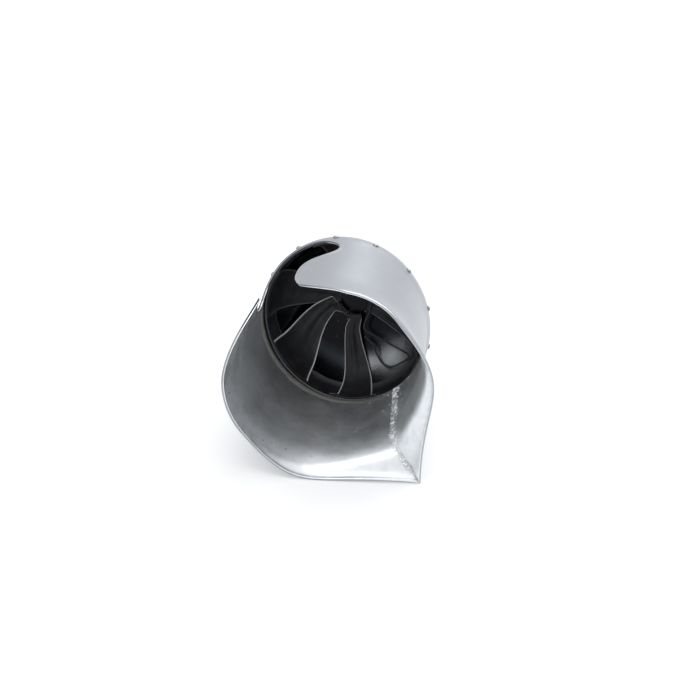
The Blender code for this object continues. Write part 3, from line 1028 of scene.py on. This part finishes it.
@dataclass
class LiningBand:
    """The leather band against the inside of the skull, cut lower at the nape."""

    form: ShellForm
    leather: Material
    wall: float = 0.0020
    seat: float = 0.0005
    thickness: float = 0.0022
    bottom: float = 0.157
    front_bottom: float = 0.170
    top: float = 0.198
    # How pale the cut edges are, partly a painted highlight.
    pale_edge_and_sheen: float = 0.10
    worn_edge: float = 0.0005
    columns: int = 200
    rows: int = 14

    def low_edge(self, angle: float) -> float:
        """Return the height of the band's lower edge."""
        front = (1.0 + math.cos(math.radians(angle))) / 2
        return self.bottom + (self.front_bottom - self.bottom) * front

    def build(self) -> None:
        """Make the band."""
        high = self.form.level_at(self.top)
        lows = [self.form.level_at(self.low_edge(360.0 * step / self.columns - 180.0))
                for step in range(self.columns + 1)]

        def place(u: float, v: float) -> Vector:
            """Return a point of the band's outer face."""
            low = lows[round(u * self.columns)]
            level = low + (high - low) * v
            return self.form.inside(level, wrap(360.0 * u - 180.0), self.wall + self.seat)
        bm = grid(self.columns, self.rows, place)
        bmesh.ops.remove_doubles(bm, verts=bm.verts[:], dist=0.02 * MILLIMETRE)
        along = bm.verts.layers.float["along"]
        cut = bm.verts.layers.float.new("cut")
        for vertex in bm.verts:
            vertex[cut] = self.pale_edge_and_sheen if vertex[along] in (0.0, 1.0) else 0.0
        made = make_object("leather_band", bm, (self.leather,))
        add_modifier(made, "leather", "SOLIDIFY", thickness=self.thickness, offset=-1.0)
        add_modifier(made, "worn_edge", "BEVEL", width=self.worn_edge, affect="EDGES", segments=2,
                     profile=0.5, material=-1, limit_method="ANGLE",
                     angle_limit=math.radians(60.0))
        bake(made, 180.0)
        place_piece(made, Slot.LEATHER, "lining_band")


class TongueCut(NamedTuple):
    """Where one tongue lies, how far it leans towards the face and how it has creased."""

    middle: float
    lean: float
    fold: float
    curl: float
    # How pale the cut edges are: partly their own colour, partly a painted highlight that differs
    # from tongue to tongue.
    pale_edge_and_sheen: float


@dataclass
class LiningTongues:
    """Six leather tongues from the band to the crown hole."""

    form: ShellForm
    band: LiningBand
    leather: Material
    thickness: float = 0.0018
    root_width: float = 0.066
    tip_width: float = 0.0145
    stand_off: float = 0.0125
    taper: float = 1.5
    lift: float = 1.6
    press: float = 0.0035
    crown_hole: float = 0.0170
    lace: float = 0.0026
    columns: int = 28
    rows: int = 56
    cuts: tuple[TongueCut, ...] = (
        TongueCut(-145.0, 0.0070, 0.0034, 0.0016, 1.0),
        TongueCut(-90.0, 0.0150, 0.0026, 0.0020, 1.0),
        TongueCut(-35.0, 0.0, 0.0016, 0.0010, 0.12),
        TongueCut(35.0, 0.0, 0.0014, 0.0012, 0.12),
        TongueCut(90.0, 0.0, 0.0018, 0.0014, 0.12),
        TongueCut(145.0, 0.0, 0.0022, 0.0014, 0.30),
    )

    def place(self, cut: TongueCut, low: float, high: float, u: float, v: float) -> Vector:
        """Return a point of a tongue's outer face."""
        level = low + (high - low) * v
        seat = self.band.wall + 2 * self.band.seat + self.band.thickness
        band_level = self.form.level_at(self.band.top)
        free = max(0.0, level - band_level) / (self.form.top + 1.0 - band_level)
        rise = ease(self.lift * free)
        depth = seat + (self.stand_off - seat) * rise
        width = self.root_width + (self.tip_width - self.root_width) * v ** self.taper
        middle = self.form.inside(level, cut.middle, depth)
        reach = math.hypot(middle.x, middle.y)
        side = 2.0 * u - 1.0
        half = math.degrees(width / 2 / reach)
        lean = math.degrees(cut.lean * rise / max(reach, 0.03)) * ease((1.0 - v) * 12.0)
        ridge = math.exp(-((side - 0.15) / 0.16) ** 2)
        ridge -= 0.6 * math.exp(-((side + 0.25) / 0.12) ** 2)
        soft = noise.noise(Vector((side * 1.6, v * 3.0, cut.middle)))
        free_edge = abs(side) ** 4
        swell = (cut.fold * ridge + cut.curl * free_edge + 0.0014 * soft) * rise * (1.0 - v ** 6)
        angle = wrap(cut.middle + lean + half * side)
        return self.form.inside(level, angle, depth + max(-self.press, swell * 0.8))

    def build(self) -> None:
        """Make every tongue where its node is."""
        climb = math.acos((self.crown_hole + self.lace) / (self.form.skull_width / 2))
        high = self.form.top + climb / (math.pi / 2)
        for index, cut in enumerate(self.cuts):
            low = self.form.level_at(self.band.low_edge(cut.middle) + self.thickness)
            bm = grid(self.columns, self.rows, partial(self.place, cut, low, high))
            across = bm.verts.layers.float["across"]
            along = bm.verts.layers.float["along"]
            # The cut edges' paleness, partly a painted highlight.
            pale_edge_and_sheen = bm.verts.layers.float.new("cut")
            for vertex in bm.verts:
                on_edge = vertex[across] in (0.0, 1.0) and 0.03 < vertex[along] < 0.97
                vertex[pale_edge_and_sheen] = cut.pale_edge_and_sheen if on_edge else 0.0
            made = make_object(f"leather_tongue_{index + 1}", bm, (self.leather,))
            add_modifier(made, "leather", "SOLIDIFY", thickness=self.thickness, offset=-1.0)
            bake(made, 60.0)
            place_piece(made, Slot.LEATHER, f"lining_tongue_{index + 1}")


@dataclass
class Lace:
    """The black lace that gathers the tongues, with its loose bight."""

    cord: Material
    diameter: float = 0.0026
    steps: int = 8

    def route(self) -> list[Vector]:
        """Return the lace's points where the helmet lies."""
        points = []
        for row in LACE_ROUTE:
            turn = math.radians(row.angle)
            points.append((row.reach * math.sin(turn), -row.reach * math.cos(turn), row.height))
        return [LAID_DOWN @ Vector(point) for point in smooth_curve(points, self.steps)]

    def build(self) -> None:
        """Make the lace."""
        points = self.route()
        curve = bpy.data.curves.new("lining_lace", "CURVE")
        curve.dimensions = "3D"
        curve.bevel_depth = self.diameter / 2
        curve.bevel_resolution = 3
        curve.use_fill_caps = True
        line = curve.splines.new("POLY")
        line.points.add(len(points) - 1)
        for target, point in zip(line.points, points):
            target.co = (*point, 1.0)
        curve.materials.append(self.cord)
        made = add_object("lining_lace", curve)
        place_piece(made, Slot.CORD, "lace")


@dataclass
class Studio:
    """The white table, the lights and the camera."""

    lens: float = 92.57
    camera_place: Triple = (0.0218, -1.9433, 1.1756)
    camera_right: Triple = (0.9977, 0.0323, 0.0600)
    camera_down: Triple = (0.0681, -0.4835, -0.8727)

    def floor(self) -> None:
        """Lay the table's white top."""
        bm = bmesh.new()
        bmesh.ops.create_grid(bm, x_segments=2, y_segments=2, size=4.0)
        mesh = bpy.data.meshes.new("table_top")
        bm.to_mesh(mesh)
        bm.free()
        table = add_object("table_top", mesh)
        made, kit, shader = principled("white_table")
        cloud = kit.noise(kit.object_place(), 4.0, 2.0, 0.5)
        colour = kit.mix(cloud, (0.54, 0.54, 0.545), (0.57, 0.57, 0.575))
        kit.link(colour, shader.inputs["Base Color"])
        shader.inputs["Roughness"].default_value = 0.85
        shader.inputs["Emission Color"].default_value = (0.985, 0.99, 1.0, 1.0)
        shader.inputs["Emission Strength"].default_value = 0.36
        mesh.materials.append(made)

    def softbox(self, name: str, place: Triple, size: float, power: float) -> None:
        """Hang a square light of this many watts that faces the helmet."""
        light = bpy.data.lights.new(name, "AREA")
        light.size = size
        light.energy = power
        lamp = add_object(name, light)
        lamp.location = place
        aim = Vector((0.0, 0.0, 0.1)) - Vector(place)
        lamp.rotation_euler = aim.to_track_quat("-Z", "Y").to_euler()

    def world(self) -> None:
        """Set the even light of the room."""
        world = bpy.data.worlds.new("room")
        world.use_nodes = True
        ground = world.node_tree.nodes["Background"]
        ground.inputs["Color"].default_value = (0.965, 0.98, 1.0, 1.0)
        ground.inputs["Strength"].default_value = 0.92
        bpy.context.scene.world = world

    def camera(self) -> None:
        """Set the camera up where the photograph was taken from."""
        data = bpy.data.cameras.new("camera")
        data.lens = self.lens
        data.sensor_width = 36.0
        right = Vector(self.camera_right).normalized()
        up = -Vector(self.camera_down)
        back = right.cross(up).normalized()
        up = back.cross(right)
        turn = Matrix((right, up, back)).transposed().to_4x4()
        item = add_object("camera", data)
        item.matrix_world = Matrix.Translation(self.camera_place) @ turn
        bpy.context.scene.camera = item

    def build(self) -> None:
        """Set the whole studio up."""
        self.camera()
        self.floor()
        self.softbox("top_light", (0.7, 1.0, 1.7), 2.0, 30.0)
        self.softbox("front_light", (-0.5, -0.5, 1.7), 1.0, 10.5)
        self.world()
        bpy.context.scene.view_settings.view_transform = "Standard"


def main() -> None:
    """Build the barbute and its studio."""
    logging.basicConfig(level=logging.INFO, format="%(message)s")
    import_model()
    form = ShellForm()
    outside = SteelFinish("outside_steel", (0.385, 0.402, 0.43), roughness=0.38, stained=0.1,
                          streaks=0.06, line=0.8, spots=EYE_PIT).build()
    inside = SteelFinish("inside_steel", (0.86, 0.88, 0.90), roughness=0.44,
                         heat_tint_and_sheen=(0.56, 0.55, 0.48), skull=(0.05, 0.055, 0.062), streaks=0.16,
                         blotches=0.22, stained=0.8, bump=0.18, mottled=0.20,
                         spots=TAIL_PITS).build()
    weld_steel = SteelFinish("weld_steel", (0.74, 0.75, 0.76), roughness=0.50, streaks=0.0,
                             blotches=0.3, stained=0.0, bump=0.4).build()
    rivet_steel = SteelFinish("rivet_steel_finish", (0.30, 0.30, 0.31), streaks=0.05,
                              stained=0.0).build()
    leather = LeatherFinish("lining_leather").build()
    Studio().build()
    Lace(CordFinish("lace_cord").build()).build()
    Shell(form, outside, inside).build()
    WeldSeam(form, weld_steel).build()
    Rivets(form, rivet_steel).build()
    band = LiningBand(form, leather)
    band.build()
    LiningTongues(form, band, leather).build()


if __name__ == "__main__":
    main()
